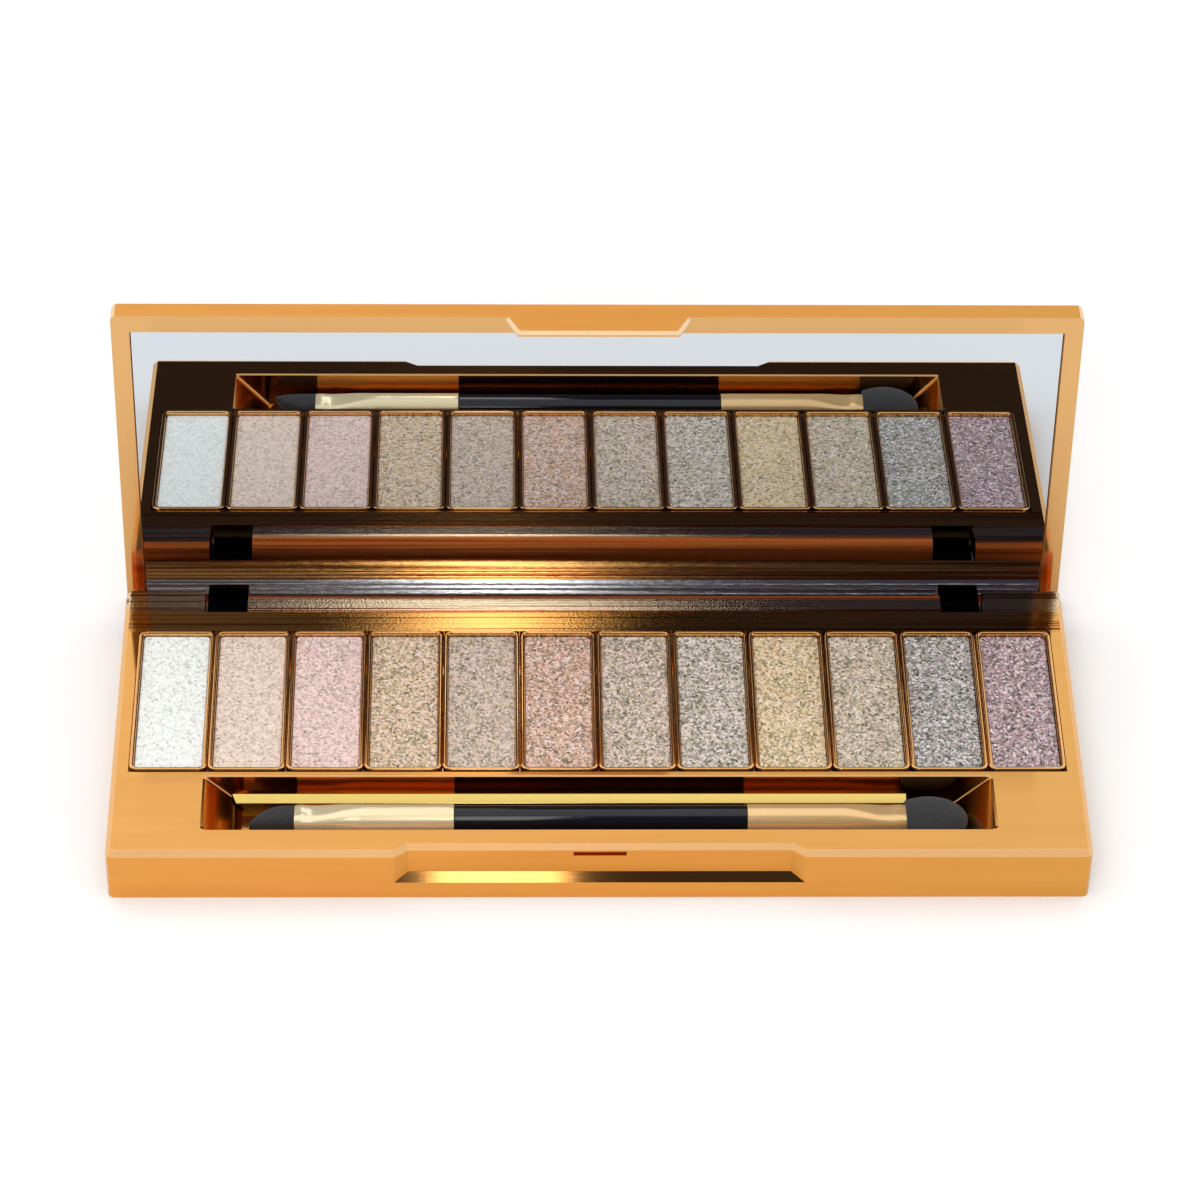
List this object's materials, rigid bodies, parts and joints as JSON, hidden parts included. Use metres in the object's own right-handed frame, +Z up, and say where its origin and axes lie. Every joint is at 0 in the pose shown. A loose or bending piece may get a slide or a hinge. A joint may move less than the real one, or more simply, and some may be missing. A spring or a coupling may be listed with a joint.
{
  "type": "eyeshadow palette",
  "caption": "Slim hinged eyeshadow palette with a mirror in its lid, a row of pressed powders in lipped pans and a double-ended foam applicator in a trough.",
  "frame": {"origin": "centre of the base's underside, on the surface that the palette lies on", "axes": "+X along the row of powders to the user's right, +Y from the front tab to the hinge, +Z up out of the deck"},
  "size_m": [0.181, 0.0848, 0.0714],
  "materials": {
    "gold_case": "vacuum-metallised orange gold, polished",
    "gold_pan": "vacuum-metallised orange gold, polished",
    "mirror": "silvered glass",
    "tape": "foam tape",
    "steel_pin": "bright drawn wire",
    "black_handle": "gloss black",
    "gold_ferrule": "bright pale gold anodised",
    "foam_tip": "matt latex foam",
    "powder_01": "pressed powder with fine glitter",
    "powder_02": "pressed powder with fine glitter",
    "powder_03": "pressed powder with fine glitter",
    "powder_04": "pressed powder with fine glitter",
    "powder_05": "pressed powder with fine glitter",
    "powder_06": "pressed powder with fine glitter",
    "powder_07": "pressed powder with fine glitter",
    "powder_08": "pressed powder with fine glitter",
    "powder_09": "pressed powder with fine glitter",
    "powder_10": "pressed powder with fine glitter",
    "powder_11": "pressed powder with fine glitter",
    "powder_12": "pressed powder with fine glitter"
  },
  "bodies": {
    "base": {"base_body": "gold_case", "bottom_cover": "gold_case", "hinge_pin_left": "steel_pin", "hinge_pin_right": "steel_pin", "pan_01": "gold_pan", "pan_02": "gold_pan", "pan_03": "gold_pan", "pan_04": "gold_pan", "pan_05": "gold_pan", "pan_06": "gold_pan", "pan_07": "gold_pan", "pan_08": "gold_pan", "pan_09": "gold_pan", "pan_10": "gold_pan", "pan_11": "gold_pan", "pan_12": "gold_pan", "powder_01": "powder_01", "powder_02": "powder_02", "powder_03": "powder_03", "powder_04": "powder_04", "powder_05": "powder_05", "powder_06": "powder_06", "powder_07": "powder_07", "powder_08": "powder_08", "powder_09": "powder_09", "powder_10": "powder_10", "powder_11": "powder_11", "powder_12": "powder_12"},
    "lid": {"lid_shell": "gold_case", "mirror_glass": "mirror", "mirror_tape": "tape"},
    "applicator": {"applicator_handle": "black_handle", "applicator_ferrule_left": "gold_ferrule", "applicator_ferrule_right": "gold_ferrule", "applicator_tip_left": "foam_tip", "applicator_tip_right": "foam_tip"}
  },
  "joints": [
    {"name": "lid_hinge", "type": "hinge", "parent": "base", "child": "lid", "pos_m": [0, 0.03244, 0.00448], "axis": [1, 0, 0], "range_deg": [0, 94.9]},
    {"name": "applicator_lift", "type": "slide", "parent": "base", "child": "applicator", "axis": [0, 0, 1], "range_m": [0, 0.06]}
  ]
}
